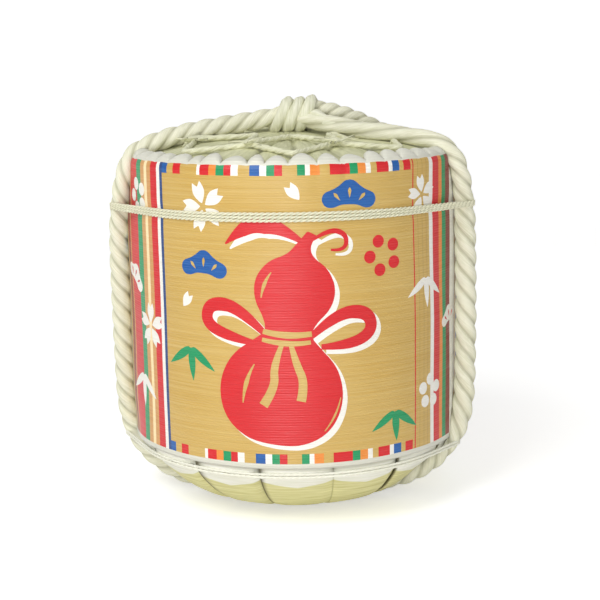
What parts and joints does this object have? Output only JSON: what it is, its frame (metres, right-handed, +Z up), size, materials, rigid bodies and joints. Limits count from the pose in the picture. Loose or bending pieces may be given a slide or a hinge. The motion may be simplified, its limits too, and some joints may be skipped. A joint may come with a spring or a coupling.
{
  "type": "wooden sake barrel",
  "caption": "Cedar cask wrapped in straw mats and a printed sheet, bound with thin cords and carried by one thick rope knotted over its laced, domed top; it stands on its pleated base.",
  "frame": {"origin": "on the floor under the middle of the cask", "axes": "+Z up; the middle of the print faces -Y; the thick rope crosses the top and runs down the sides at -X and +X"},
  "size_m": [0.3862, 0.3516, 0.4155],
  "materials": {
    "cedar": "planed, unfinished",
    "bamboo": "split, natural skin",
    "straw": "woven rice straw",
    "top_straw": "woven pale straw",
    "base_straw": "woven pale straw, white coat above",
    "printed_sheet": "ribbed woven sheet, printed in gold and colours",
    "rope": "three-strand laid rope, pale fibre",
    "cord": "two-strand twisted cord, pale fibre"
  },
  "bodies": {
    "root": {"stave_01": "cedar", "stave_02": "cedar", "stave_03": "cedar", "stave_04": "cedar", "stave_05": "cedar", "stave_06": "cedar", "stave_07": "cedar", "stave_08": "cedar", "stave_09": "cedar", "stave_10": "cedar", "stave_11": "cedar", "stave_12": "cedar", "stave_13": "cedar", "stave_14": "cedar", "stave_15": "cedar", "stave_16": "cedar", "lid_board_1": "cedar", "lid_board_2": "cedar", "lid_board_3": "cedar", "bottom_board_1": "cedar", "bottom_board_2": "cedar", "bottom_board_3": "cedar", "bung": "cedar", "mouth_hoop_upper": "bamboo", "mouth_hoop_lower": "bamboo", "waist_hoop_upper": "bamboo", "waist_hoop_lower": "bamboo", "foot_hoop_upper": "bamboo", "foot_hoop_lower": "bamboo", "lid_pegs": "bamboo", "bottom_pegs": "bamboo", "top_straw_pad": "straw", "base_straw_pad": "straw", "inner_mat": "straw", "top_mat": "top_straw", "base_mat": "base_straw", "printed_wrap": "printed_sheet", "main_rope": "rope", "rope_knot": "rope", "waist_cord": "cord", "base_cord": "cord", "top_lacing_outer": "cord", "top_lacing_inner": "cord"}
  },
  "joints": []
}
